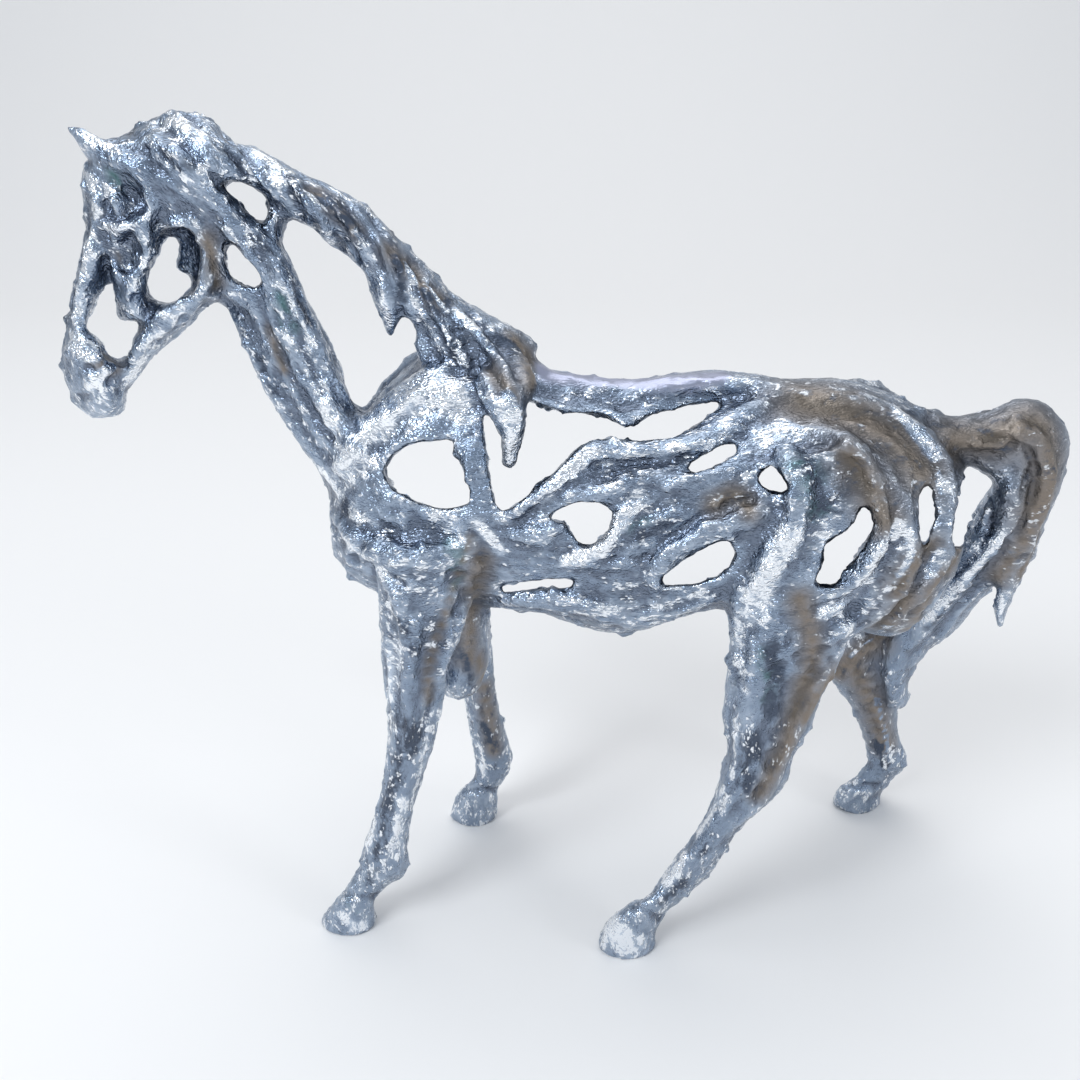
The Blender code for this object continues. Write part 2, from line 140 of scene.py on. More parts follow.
FLOWS = {
    "neck": (
        11,
        [(175, 285), (200, 292), (228, 309), (247, 345), (262, 383), (284, 423), (312, 461), (330, 500)],
        [(205, 160), (236, 190), (272, 232), (295, 276), (318, 328), (338, 374), (354, 410), (392, 436)],
    ),
    "crown": (
        6,
        [(140, 128), (165, 152), (190, 178), (222, 205), (250, 235)],
        [(175, 113), (205, 122), (222, 150), (240, 175), (268, 205)],
    ),
    "brow": (
        4,
        [(90, 150), (108, 158), (132, 168), (150, 182)],
        [(112, 148), (132, 150), (152, 158), (172, 176)],
    ),
    "nose": (
        4,
        [(84, 185), (84, 222), (80, 256), (73, 290), (67, 322)],
        [(104, 190), (102, 222), (98, 260), (94, 290), (88, 326)],
    ),
    "cheek": (
        4,
        [(104, 226), (110, 250), (116, 276), (122, 300), (126, 318)],
        [(142, 226), (146, 250), (146, 276), (144, 300), (146, 318)],
    ),
    "jaw": (
        4,
        [(118, 382), (140, 368), (160, 350), (182, 330), (206, 300), (222, 270)],
        [(130, 360), (142, 335), (160, 312), (180, 300), (196, 284), (206, 262)],
    ),
    "muzzle": (
        4,
        [(70, 336), (68, 362), (76, 388), (96, 408)],
        [(98, 338), (104, 358), (110, 376), (120, 398)],
    ),
    "mane_1": (
        4,
        [(206, 142), (235, 170), (262, 200), (276, 240)],
        [(248, 160), (275, 185), (298, 214), (300, 220)],
    ),
    "mane_2": (
        4,
        [(252, 158), (278, 184), (300, 214), (304, 222)],
        [(285, 176), (310, 200), (330, 235), (340, 255)],
    ),
    "mane_3": (
        4,
        [(290, 176), (314, 198), (334, 232), (344, 250)],
        [(325, 196), (355, 228), (370, 270), (386, 310)],
    ),
    "mane_4": (
        5,
        [(330, 196), (362, 228), (378, 270), (388, 318)],
        [(368, 220), (390, 255), (402, 290), (410, 312)],
    ),
    "mane_5": (
        5,
        [(372, 222), (392, 256), (408, 300), (430, 350)],
        [(412, 264), (432, 305), (458, 352), (488, 398)],
    ),
    "mane_6": (
        5,
        [(416, 266), (440, 305), (466, 350), (494, 398)],
        [(450, 304), (478, 332), (505, 360), (520, 396)],
    ),
    "shoulder": (
        6,
        [(340, 480), (352, 448), (372, 418), (392, 386), (425, 362), (468, 345)],
        [(366, 478), (390, 452), (420, 440), (450, 436), (478, 420), (500, 402)],
    ),
    "strut": (
        3,
        [(462, 408), (462, 440), (466, 475), (472, 508)],
        [(480, 408), (480, 440), (484, 475), (490, 508)],
    ),
    "chest": (
        7,
        [(334, 490), (338, 530), (352, 568), (380, 590)],
        [(396, 492), (430, 512), (462, 530), (480, 575)],
    ),
    "near_foreleg": (
        10,
        [(378, 560), (380, 600), (382, 640), (386, 690), (390, 730), (386, 775), (376, 815), (364, 850),
         (358, 872)],
        [(464, 560), (460, 600), (452, 650), (444, 690), (434, 735), (422, 780), (412, 814), (408, 848),
         (402, 874)],
    ),
    "far_foreleg": (
        4,
        [(466, 640), (468, 690), (473, 730), (478, 765)],
        [(488, 640), (492, 690), (502, 730), (508, 765)],
    ),
    "rib_top": (
        6,
        [(505, 516), (548, 482), (572, 458), (596, 443), (640, 444), (684, 436), (712, 418), (752, 402)],
        [(516, 528), (546, 514), (580, 500), (610, 492), (640, 478), (684, 464), (724, 440), (768, 428)],
    ),
    "rib_low": (
        7,
        [(506, 548), (545, 548), (585, 548), (606, 532), (624, 505), (672, 484), (722, 466), (755, 470)],
        [(506, 576), (560, 572), (606, 582), (652, 576), (690, 552), (724, 536), (748, 520), (770, 505)],
    ),
    "belly": (
        4,
        [(500, 600), (545, 595), (600, 600), (655, 600), (700, 590), (735, 570)],
        [(500, 608), (545, 610), (590, 620), (630, 630), (680, 618), (722, 600)],
    ),
    "back": (
        4,
        [(545, 370), (592, 382), (628, 386), (680, 382), (720, 378), (765, 380)],
        [(548, 398), (590, 408), (628, 418), (680, 400), (720, 398), (765, 404)],
    ),
    "hip_ring": (
        5,
        [(778, 425), (764, 452), (756, 490), (758, 530), (750, 570)],
        [(820, 440), (808, 470), (806, 510), (798, 550), (780, 590)],
    ),
    "croup": (
        7,
        [(790, 388), (845, 386), (888, 400), (920, 424), (942, 462), (944, 510), (936, 552), (905, 598),
         (862, 640)],
        [(790, 425), (832, 440), (862, 468), (882, 505), (880, 540), (856, 575), (822, 600), (800, 612),
         (780, 620)],
    ),
    "thigh": (
        6,
        [(745, 560), (735, 600), (736, 640), (730, 685), (728, 722)],
        [(868, 600), (852, 628), (838, 655), (818, 690), (804, 725)],
    ),
    "near_hindleg": (
        7,
        [(732, 720), (732, 752), (722, 786), (710, 815), (692, 845), (670, 872), (654, 892)],
        [(800, 720), (786, 755), (780, 782), (760, 805), (732, 834), (710, 866), (690, 886)],
    ),
    "far_hindleg": (
        5,
        [(830, 640), (838, 680), (854, 706), (866, 736), (872, 762)],
        [(905, 640), (898, 682), (894, 715), (898, 740), (902, 762)],
    ),
    "tail_top": (
        5,
        [(948, 420), (985, 420), (1030, 404), (1060, 432), (1056, 480)],
        [(952, 456), (978, 466), (996, 476), (1002, 492), (995, 512)],
    ),
    "tail": (
        7,
        [(1056, 470), (1040, 525), (1026, 562), (990, 585), (955, 626), (926, 650), (908, 685)],
        [(982, 505), (970, 540), (952, 560), (930, 585), (906, 614), (886, 642), (884, 676)],
    ),
    "mane_drip": (
        3,
        [(376, 285), (380, 305), (388, 328)],
        [(402, 285), (400, 305), (394, 328)],
    ),
    "big_drip": (
        3,
        [(488, 396), (494, 420), (500, 455)],
        [(524, 396), (522, 425), (514, 458)],
    ),
}

THREADS = {
    "ear_ridge": (0.0013, [(72, 128), (92, 136), (115, 150), (132, 164)]),
    "upper_lid": (0.0016, [(110, 192), (122, 182), (136, 184), (148, 198), (152, 208), (142, 220)]),
    "eyeball": (0.0046, [(113, 206), (119, 203), (126, 205)]),
    "lower_lid": (0.0013, [(106, 208), (116, 216), (130, 218), (142, 214)]),
    "cheek_bar": (0.0016, [(102, 224), (116, 228), (132, 226), (146, 222)]),
    "nose_ridge": (0.0014, [(100, 225), (103, 245), (110, 265), (121, 285)]),
    "cheek_edge": (0.0014, [(147, 226), (146, 248), (148, 270), (149, 292)]),
    "jaw_ring": (0.0014, [(206, 250), (204, 280), (190, 305), (168, 318), (146, 322)]),
    "nostril_rim": (0.0014, [(76, 372), (84, 362), (96, 362), (102, 370), (96, 378)]),
    "lip": (0.0013, [(84, 398), (100, 388), (114, 372), (122, 366)]),
    "crown_fold": (0.0015, [(150, 143), (165, 165), (200, 182), (228, 205)]),
    "crown_lock": (0.0015, [(170, 120), (195, 140), (215, 165), (232, 190)]),
    "hip_thread": (0.0011, [(757, 460), (764, 480), (768, 505), (767, 535), (762, 560)]),
    "loop_thread": (0.0011, [(872, 488), (878, 505), (888, 518), (890, 535)]),
    "thigh_thread": (0.0013, [(908, 525), (909, 552), (895, 580), (870, 606), (845, 625)]),
    "tail_thread": (0.0012, [(850, 660), (868, 650), (886, 640), (904, 622), (930, 598)]),
    "rib_thread": (0.0013, [(600, 467), (630, 458), (656, 452), (700, 442), (740, 424)]),
}


def wander(first, second, share, dice):
    """A line between two edge lines, at a share of the way across, that starts, ends and wavers by chance."""
    steps = np.linspace(0, 1, RUN_STEPS)
    edges = []
    for edge in (first, second):
        row = np.array(smooth_places(edge, 6))
        along = np.linspace(0, 1, len(row))
        edges.append(np.stack([np.interp(steps, along, row[:, k]) for k in (0, 1)], 1))
    start = dice.uniform(*RUN_START)
    end = start + dice.uniform(*RUN_LENGTH)
    kept = (steps >= start) & (steps <= end)
    shares = share + RUN_WAVER * np.array([dice.uniform(-1, 1) for _ in steps])
    line = edges[0] + (edges[1] - edges[0]) * np.clip(shares, RUN_EDGE, 1 - RUN_EDGE)[:, None]
    return line[kept]


def draw_runs():
    """Every run and thread on both sides, as (width, points)."""
    dice = random.Random(RUN_SEED)
    drawn = []
    for count, first, second in FLOWS.values():
        for far in (False, True):
            for k in range(count):
                width = dice.uniform(*RUN_WIDTH)
                line = wander(first, second, (k + 0.5) / count, dice)
                if len(line) > 2:
                    drawn += [(width, run) for run in lay_line(line, far)]
    for width, places in THREADS.values():
        for far in (False, True):
            drawn += [(width, run) for run in lay_line(places, far)]
    return drawn


def line_object(name, drawn):
    """A wire mesh of lines, each point with the line's width there."""
    points, edges, widths = [], [], []
    for width, run in drawn:
        first = len(points)
        points += run
        edges += [(first + i, first + i + 1) for i in range(len(run) - 1)]
        for i in range(len(run)):
            to_end = min(i, len(run) - 1 - i)
            widths.append(width * min(1, TIP_WIDTH + to_end / TIP_STEPS))
    mesh = bpy.data.meshes.new(name)
    mesh.from_pydata(points, edges, [])
    mesh.attributes.new("width", "FLOAT", "POINT").data.foreach_set("value", widths)
    return mesh_object(name, mesh)


class Wire:
    """A socket of a node tree, on which Python's operators add Math nodes."""

    def __init__(self, tree, socket):
        self.tree = tree
        self.socket = socket

    def math(self, operation, *others):
        entries = dict(enumerate((self, *others)))
        return add_node(self.tree, "ShaderNodeMath", {"operation": operation}, entries)

    def __add__(self, other):
        return self.math("ADD", other)

    def __mul__(self, other):
        return self.math("MULTIPLY", other)

    def __sub__(self, other):
        return self.math("SUBTRACT", other)

    def __rsub__(self, other):
        return self * -1 + other

    __radd__ = __add__
    __rmul__ = __mul__


def add_node(tree, kind, settings, entries, output=0):
    """Adds a node, sets it, fills its sockets with values or wires, and gives one of its outputs."""
    made = tree.nodes.new(kind)
    for name, value in settings.items():
        setattr(made, name, value)
    for name, entry in entries.items():
        if isinstance(entry, Wire):
            tree.links.new(entry.socket, made.inputs[name])
        else:
            made.inputs[name].default_value = entry
    return Wire(tree, made.outputs[output])


def new_tree(name, inputs):
    """A Geometry Nodes tree with a mesh in and out and the given named inputs, and a wire from each."""
    tree = bpy.data.node_groups.new(name, "GeometryNodeTree")
    tree.is_modifier = True
    tree.interface.new_socket("Geometry", in_out="INPUT", socket_type="NodeSocketGeometry")
    tree.interface.new_socket("Geometry", in_out="OUTPUT", socket_type="NodeSocketGeometry")
    for label, kind in inputs.items():
        tree.interface.new_socket(label, in_out="INPUT", socket_type="NodeSocket" + kind)
    entry = tree.nodes.new("NodeGroupInput")
    return tree, {socket.name: Wire(tree, socket) for socket in entry.outputs if socket.name}


def end_tree(tree, geometry, material):
    whole = add_node(tree, "GeometryNodeRealizeInstances", {}, {0: geometry})
    coated = add_node(tree, "GeometryNodeSetMaterial", {}, {"Geometry": whole, "Material": material})
    tree.links.new(coated.socket, tree.nodes.new("NodeGroupOutput").inputs[0])


def use_tree(obj, tree, values):
    """Adds the tree to the object, with its inputs set by their identifiers."""
    modifier = obj.modifiers.new(tree.name, "NODES")
    modifier.node_group = tree
    for item in tree.interface.items_tree:
        if item.in_out == "INPUT" and item.name in values:
            modifier[item.identifier] = values[item.name]


def vector_math(tree, operation, *entries, output=0):
    return add_node(tree, "ShaderNodeVectorMath", {"operation": operation}, dict(enumerate(entries)), output)


def scaled(tree, vector, scale):
    return add_node(tree, "ShaderNodeVectorMath", {"operation": "SCALE"}, {0: vector, "Scale": scale})


def runs_tree():
    """Tubes along the wire lines and small beads over the skin, joined to it."""
    tree, given = new_tree("runs", {
        "Lines": "Object", "Bead Density": "Float", "Bead Size": "Float", "Seed": "Int",
        "Material": "Material",
    })
    lines = add_node(tree, "GeometryNodeObjectInfo", {}, {"Object": given["Lines"]}, "Geometry")
    curves = add_node(tree, "GeometryNodeMeshToCurve", {}, {0: lines})
    width = add_node(tree, "GeometryNodeInputNamedAttribute", {"data_type": "FLOAT"}, {"Name": "width"})
    round_profile = add_node(tree, "GeometryNodeCurvePrimitiveCircle", {}, {
        "Resolution": TUBE_SIDES, "Radius": 1.0,
    }, "Curve")
    tubes = add_node(tree, "GeometryNodeCurveToMesh", {}, {
        "Curve": curves, "Profile Curve": round_profile, "Scale": width, "Fill Caps": True,
    })
    places = add_node(tree, "GeometryNodeDistributePointsOnFaces", {"distribute_method": "RANDOM"}, {
        "Mesh": given["Geometry"], "Density": given["Bead Density"], "Seed": given["Seed"],
    }, "Points")
    bead = add_node(tree, "GeometryNodeMeshIcoSphere", {}, {"Radius": 1.0, "Subdivisions": 2}, "Mesh")
    size = add_node(tree, "FunctionNodeRandomValue", {"data_type": "FLOAT"}, {
        2: given["Bead Size"] * 0.5, 3: given["Bead Size"], "Seed": given["Seed"],
    }, 1)
    beads = add_node(tree, "GeometryNodeInstanceOnPoints", {}, {
        "Points": places, "Instance": bead, "Scale": size,
    })
    joined = tree.nodes.new("GeometryNodeJoinGeometry")
    for part in (beads, tubes, given["Geometry"]):
        tree.links.new(part.socket, joined.inputs[0])
    end_tree(tree, Wire(tree, joined.outputs[0]), given["Material"])
    return tree


# The skin of the casting is crinkled all over, as metal is that has chilled against a rough mould. The
# crinkle runs along the body and down the neck and legs, and creases part the lips, lids and locks.
SKIN_GRAIN = 0.0011
RELAX_ROUNDS = 5
LUMP = (0.012, 0.0016)  # how wide and how high, and so for the next two
BLOB = (0.0056, 0.0016)
CRINKLE = (0.0030, 0.0006)
RIDGE_MIDDLE = 0.2  # the middle height of blobs and crinkles, which rise as ridges from 0 to 1
SKIN_TRIANGLES = 195000
STRETCH = 0.55  # how far a pattern's place is drawn in along the way that the metal runs
LEG_AXIS = (0, 0, 1)
NECK_AXIS = (0.7071, 0, -0.7071)
BODY_AXIS = (1, 0, 0)
LEG_TOP = (0.15, 0.12)  # the heights between which the body's pattern turns into the legs'
NECK_ROOT = (-0.055, -0.08)  # the places along X between which it turns into the neck's
NECK_FOOT = (0.2, 0.22)  # the heights between which the neck's pattern begins
SOLE_MARGIN = (0.0005, 0.003)  # the crinkle begins between these heights, so that the soles stay flat
CREASE_WIDTH = 0.0018
CREASE_DEPTH = 0.0016

CREASES = {
    "mouth": [(78, 398), (92, 394), (106, 384), (118, 370), (126, 358)],
    "nostril": [(80, 372), (88, 368), (96, 370)],
    "eye": [(108, 206), (118, 196), (130, 193), (142, 202)],
    "cheek": [(132, 228), (128, 250), (128, 275), (134, 300)],
    "crown_1": [(158, 120), (180, 140), (206, 168), (228, 196)],
    "crown_2": [(145, 150), (160, 172), (190, 195), (220, 222)],
    "mane_1": [(228, 150), (252, 176), (276, 206), (286, 232)],
    "mane_2": [(268, 166), (292, 190), (312, 222), (322, 240)],
    "mane_3": [(306, 186), (330, 212), (350, 244), (362, 272)],
    "mane_4": [(346, 206), (372, 240), (388, 280), (396, 305)],
    "mane_5": [(392, 240), (412, 280), (434, 325), (458, 372)],
    "mane_6": [(432, 286), (456, 322), (484, 360), (500, 392)],
    "hoof_near_fore": [(343, 893), (358, 898), (378, 897)],
    "hoof_near_hind": [(632, 905), (645, 913), (660, 920)],
    "hoof_far_fore": [(458, 788), (475, 792), (496, 790)],
    "hoof_far_hind": [(836, 782), (856, 786), (878, 786)],
    "mane_7": [(470, 312), (500, 345), (520, 378)],
    "lock_1": [(246, 152), (268, 178), (278, 205), (282, 240)],
    "lock_2": [(300, 178), (322, 200), (336, 232), (342, 252)],
    "lock_3": [(372, 214), (392, 250), (400, 285), (402, 318)],
    "lock_4": [(412, 262), (440, 305), (470, 350), (480, 392)],
    "dome": [(190, 116), (210, 135), (226, 160)],
    "neck_1": [(215, 230), (245, 275), (268, 325), (296, 385), (330, 440)],
    "neck_2": [(250, 240), (280, 290), (300, 340), (322, 395)],
    "haunch_1": [(815, 610), (855, 595), (886, 560), (894, 520), (884, 490)],
    "haunch_2": [(840, 645), (885, 622), (918, 580), (930, 550)],
    "rib_1": [(520, 522), (560, 490), (590, 468), (640, 462), (700, 455), (745, 434)],
    "flank": [(640, 560), (668, 540), (705, 515), (750, 500)],
    "tail_1": [(985, 440), (1015, 440), (1035, 470), (1022, 520), (990, 565)],
    "tail_2": [(990, 500), (985, 540), (955, 575), (925, 612)],
}


def region(tree, coordinate, low, high):
    """0 below low and 1 above high, or the other way round where low is the higher."""
    return add_node(tree, "ShaderNodeMapRange", {}, {
        "Value": coordinate, "From Min": low, "From Max": high, "To Min": 0.0, "To Max": 1.0,
    })


def flow_places(tree, position):
    """The position drawn in along the legs, the neck and the body, each with the share that it has there.

    A pattern that is read at a place drawn in is long that way.
    """
    x = add_node(tree, "ShaderNodeSeparateXYZ", {}, {0: position}, "X")
    z = add_node(tree, "ShaderNodeSeparateXYZ", {}, {0: position}, "Z")
    legs = region(tree, z, *LEG_TOP)
    neck = region(tree, x, *NECK_ROOT) * region(tree, z, *NECK_FOOT)
    body = (1 - legs) * (1 - neck)
    places = []
    for share, axis in ((legs, LEG_AXIS), (neck, NECK_AXIS), (body, BODY_AXIS)):
        along = vector_math(tree, "DOT_PRODUCT", position, axis, output=1)
        drawn_in = scaled(tree, axis, along * (STRETCH - 1))
        places.append((share, vector_math(tree, "ADD", position, drawn_in)))
    return places


def noise(tree, place, size, detail=2.0):
    """A noise from 0 to 1 whose lumps are about the given size in metres."""
    return add_node(tree, "ShaderNodeTexNoise", {}, {
        "Vector": place, "Scale": 1 / size, "Detail": detail, "Roughness": 0.5,
    })


def flowing_noise(tree, places, size, detail=2.0):
    """A noise that is long along the way the metal runs."""
    return sum(share * noise(tree, place, size, detail) for share, place in places)


def crinkle_tree():
    """Facets rounded off, creases sunk along the wire lines, and lumps, blobs and crinkles on the skin."""
    tree, given = new_tree("crinkle", {
        "Creases": "Object", "Crease Width": "Float", "Crease Depth": "Float", "Lump Height": "Float",
        "Blob Height": "Float", "Crinkle Height": "Float", "Material": "Material",
    })
    position = add_node(tree, "GeometryNodeInputPosition", {}, {})
    normal = add_node(tree, "GeometryNodeInputNormal", {}, {})
    blur = {"data_type": "FLOAT_VECTOR"}
    once = add_node(tree, "GeometryNodeBlurAttribute", blur, {"Value": position, "Iterations": RELAX_ROUNDS})
    twice = add_node(tree, "GeometryNodeBlurAttribute", blur, {"Value": once, "Iterations": RELAX_ROUNDS})
    relaxed = vector_math(tree, "SUBTRACT", scaled(tree, once, 2.0), twice)
    smooth = add_node(tree, "GeometryNodeSetPosition", {}, {
        "Geometry": given["Geometry"], "Position": relaxed,
    })
    places = flow_places(tree, position)
    lumps = flowing_noise(tree, places, LUMP[0]) - 0.5
    blobs = (flowing_noise(tree, places, BLOB[0]) * 2 - 1).math("ABSOLUTE") - RIDGE_MIDDLE
    fine = (flowing_noise(tree, places, CRINKLE[0]) * 2 - 1).math("ABSOLUTE") - RIDGE_MIDDLE
    lines = add_node(tree, "GeometryNodeObjectInfo", {}, {"Object": given["Creases"]}, "Geometry")
    gap = add_node(tree, "GeometryNodeProximity", {"target_element": "EDGES"}, {0: lines}, "Distance")
    crease = add_node(tree, "ShaderNodeMapRange", {"interpolation_type": "SMOOTHSTEP"}, {
        "Value": gap, "From Min": 0.0, "From Max": given["Crease Width"], "To Min": 1.0, "To Max": 0.0,
    })
    height = (
        lumps * given["Lump Height"] + blobs * given["Blob Height"] + fine * given["Crinkle Height"]
        - crease * given["Crease Depth"]
    )
    z = add_node(tree, "ShaderNodeSeparateXYZ", {}, {0: position}, "Z")
    above = region(tree, z, *SOLE_MARGIN)
    moved = add_node(tree, "GeometryNodeSetPosition", {}, {
        "Geometry": smooth, "Offset": scaled(tree, normal, height * above),
    })
    end_tree(tree, moved, given["Material"])
    return tree


metal = bpy.data.materials.new("polished_aluminium")
runs = line_object("runs", draw_runs())
sunk_lines = []
for places in CREASES.values():
    for far in (False, True):
        sunk_lines += [(CREASE_WIDTH, run) for run in lay_line(places, far)]
creases = line_object("creases", sunk_lines)
use_tree(casting, runs_tree(), {
    "Lines": runs, "Bead Density": BEAD_DENSITY, "Bead Size": BEAD_SIZE, "Seed": RUN_SEED, "Material": metal,
})
fuse = casting.modifiers.new("fuse", "REMESH")
fuse.mode = "VOXEL"
fuse.voxel_size = SKIN_GRAIN
use_tree(casting, crinkle_tree(), {
    "Creases": creases, "Crease Width": CREASE_WIDTH * 2, "Crease Depth": CREASE_DEPTH,
    "Lump Height": LUMP[1], "Blob Height": BLOB[1], "Crinkle Height": CRINKLE[1], "Material": metal,
})
full = evaluated(casting)
thin = casting.modifiers.new("thin", "DECIMATE")
thin.ratio = SKIN_TRIANGLES / (2 * len(full.polygons))
thin.use_collapse_triangulate = True
finished = evaluated(casting)
for vertex in finished.vertices:
    vertex.co.z = max(vertex.co.z, 0)  # the soles are ground level
casting.modifiers.clear()
casting.data = finished
finished.shade_smooth()
for helper in (runs, creases):
    bpy.data.objects.remove(helper)


# The casting is slate blue, its tone varying at random. Painted shade darkens the hollows and the valleys
# between the blobs, and painted shade and dark reflections darken the listed dark zones. Painted sheen and
# glints, standing in for highlights, lie on the raised places, thickest along the listed highlight zones and
# fewer in others. Painted brown and teal reflections of the room lie on the rump, the tail and a few other
# places, and a lighter painted reflection of the light from above lies along the top of the back, which is
# smoother.
# Painted glints, standing in for sparkle highlights
GLINT_WHITE = (0.93, 0.96, 1.0, 1)
# Painted sheen, standing in for broad highlights
SHEEN_BLUE = (0.56, 0.64, 0.75, 1)
SLATE = (0.27, 0.335, 0.435, 1)
# Painted shade, for the hollows and valleys
SHADE = (0.17, 0.205, 0.27, 1)
# Painted shade and dark reflections
NIGHT = (0.085, 0.105, 0.145, 1)
# Painted brown reflection of the room, then its darker copy in painted shade
REFLECTED_BROWN = (0.275, 0.235, 0.20, 1)
SHADED_BROWN = (0.165, 0.142, 0.12, 1)
# Painted teal reflection
REFLECTED_TEAL = (0.09, 0.19, 0.19, 1)
# Painted reflection of the light from above, on the top of the back
LAVENDER_SHEEN = (0.44, 0.46, 0.58, 1)
HOLLOW_DEPTH = 0.0007
HOLLOW_RANGE = (-1, 2)
FAR_STRENGTH = 0.6  # the zones are laid fainter on the right side, so its painted highlights, shade and reflections are weaker

# Patterns in the finish, each as its size in metres and its detail
CLOUDS = (0.02, 3.0)
PATCHES = (0.007, 3.0)
BLOBS = (0.0042, 3.0)
GRIT = (0.0017, 2.0)
MOTTLE = (0.0038, 2.0)

# Where each colour begins and is full, on the sum of patterns that places it
SHADE_RANGE = (0.25, 0.75)
BROWN_RANGE = (0.2, 0.5)
GREEN_RANGE = (0.42, 0.58)
NIGHT_RANGE = (0.66, 0.92)
SHEEN_RANGE = (0.5, 0.9)
GLINT_RANGE = (0.64, 0.74)
GRAIN_HEIGHT = 0.0013

# Painted highlights: zones where painted sheen and glints lie thickest, standing in for highlights
PAINTED_HIGHLIGHT_ZONES = {
    "shoulder": (0.0085, [(332, 488), (350, 465), (372, 440), (395, 420), (430, 400), (455, 385)]),
    "shoulder_sheet": (0.0080, [(404, 392), (425, 378), (445, 392), (462, 410)]),
    "haunch": (0.0075, [(752, 612), (770, 578), (792, 538)]),
    "hip_top": (0.0055, [(765, 440), (780, 428), (796, 436)]),
    "croup": (0.0042, [(892, 406), (908, 420), (922, 438), (934, 455)]),
    "croup_end": (0.0022, [(938, 474), (944, 492)]),
    "slit_side": (0.0040, [(822, 535), (832, 522)]),
    "loop_side": (0.0050, [(898, 530), (885, 552), (870, 580), (845, 602), (826, 612)]),
    "thigh_arc": (0.0024, [(908, 530), (908, 560), (880, 595), (845, 627)]),
    "thigh_line": (0.0018, [(889, 627), (868, 642), (850, 656)]),
    "tail_strand": (0.0035, [(940, 555), (930, 572)]),
    "tail_inner": (0.0035, [(957, 585), (940, 602), (924, 620)]),
    "tail_low": (0.0035, [(965, 575), (985, 552), (1000, 540)]),
    "tail_drip": (0.0012, [(999, 590), (1001, 610), (1003, 628)]),
    "thigh_front": (0.0035, [(738, 625), (742, 660), (745, 690)]),
    "muzzle": (0.0055, [(72, 340), (80, 350), (92, 352)]),
    "muzzle_low": (0.0030, [(90, 385), (100, 376), (112, 366)]),
    "nose": (0.0028, [(92, 232), (86, 262), (79, 300), (74, 325)]),
    "eyeball": (0.0045, [(112, 200), (120, 205), (128, 206)]),
    "cheek_pit": (0.0040, [(122, 246), (128, 256), (128, 266)]),
    "eye_bar": (0.0024, [(108, 229), (120, 227), (132, 226)]),
    "lid": (0.0014, [(133, 182), (145, 196), (151, 208), (143, 218)]),
    "brow": (0.0022, [(84, 172), (92, 190), (98, 208)]),
    "ear": (0.0014, [(84, 134), (100, 142), (114, 152)]),
    "jaw": (0.0032, [(126, 384), (143, 360), (156, 336)]),
    "cheek_ring": (0.0016, [(196, 236), (202, 256), (198, 284), (184, 308), (165, 322)]),
    "cheek_bar": (0.0022, [(160, 226), (150, 248), (142, 270), (136, 288)]),
    "dome": (0.0050, [(158, 124), (182, 122), (205, 134)]),
    "crown_fold": (0.0014, [(147, 143), (165, 163), (182, 173), (198, 180)]),
    "lock_1": (0.0016, [(246, 166), (256, 184), (264, 202), (271, 214)]),
    "lock_2": (0.0024, [(256, 150), (270, 164), (282, 186)]),
    "lock_3": (0.0015, [(292, 172), (304, 187), (316, 206), (326, 228), (333, 245)]),
    "lock_4": (0.0016, [(332, 188), (358, 202), (385, 220)]),
    "lock_5": (0.0022, [(356, 230), (366, 246), (374, 262)]),
    "lock_6": (0.0022, [(376, 272), (382, 296), (388, 325)]),
    "lock_7": (0.0026, [(409, 266), (416, 298), (426, 324), (438, 346)]),
    "lock_8": (0.0016, [(428, 280), (436, 296), (446, 312)]),
    "lock_9": (0.0024, [(455, 312), (470, 322), (486, 330), (504, 322)]),
    "lock_10": (0.0018, [(446, 330), (462, 352), (474, 372)]),
    "throat": (0.0040, [(318, 385), (330, 415), (340, 450), (346, 475)]),
    "neck_line": (0.0018, [(262, 262), (288, 300), (302, 335), (322, 375)]),
    "rib_front": (0.0040, [(545, 500), (565, 476), (592, 455)]),
    "rib_ridge": (0.0022, [(600, 465), (655, 452), (720, 440)]),
    "rib_patch": (0.0045, [(640, 495), (622, 520), (600, 550), (568, 562)]),
    "belly": (0.0025, [(560, 598), (610, 606), (660, 606), (705, 590)]),
    "big_drip": (0.0048, [(505, 400), (512, 430), (508, 455)]),
    "chest": (0.0035, [(345, 540), (368, 560), (385, 575)]),
    "chest_fold": (0.0040, [(352, 508), (364, 518), (378, 530)]),
    "arm_top": (0.0045, [(438, 514), (448, 524), (456, 540)]),
    "girth_side": (0.0035, [(476, 522), (488, 534), (500, 550)]),
    "forearm": (0.0045, [(398, 645), (396, 670), (394, 695)]),
    "foreleg_edge": (0.0022, [(388, 600), (389, 650), (390, 700), (390, 740)]),
    "foreleg_back": (0.0022, [(432, 712), (426, 740), (418, 780), (412, 812)]),
    "cannon": (0.0040, [(402, 800), (398, 830), (394, 856)]),
    "cannon_edge": (0.0020, [(378, 800), (372, 830), (368, 850)]),
    "knee_far": (0.0030, [(478, 745), (482, 762), (484, 776)]),
    "gaskin_edge": (0.0022, [(735, 722), (736, 742), (733, 775)]),
    "shin": (0.0045, [(726, 796), (714, 812), (700, 830)]),
    "pastern": (0.0030, [(684, 856), (674, 870), (664, 884)]),
    "far_hind": (0.0022, [(878, 700), (884, 730), (890, 760)]),
    "near_hind_hoof": (0.0085, [(612, 930), (620, 938), (632, 945)]),
    "near_fore_hoof": (0.0030, [(340, 915), (352, 925), (364, 928)]),
}
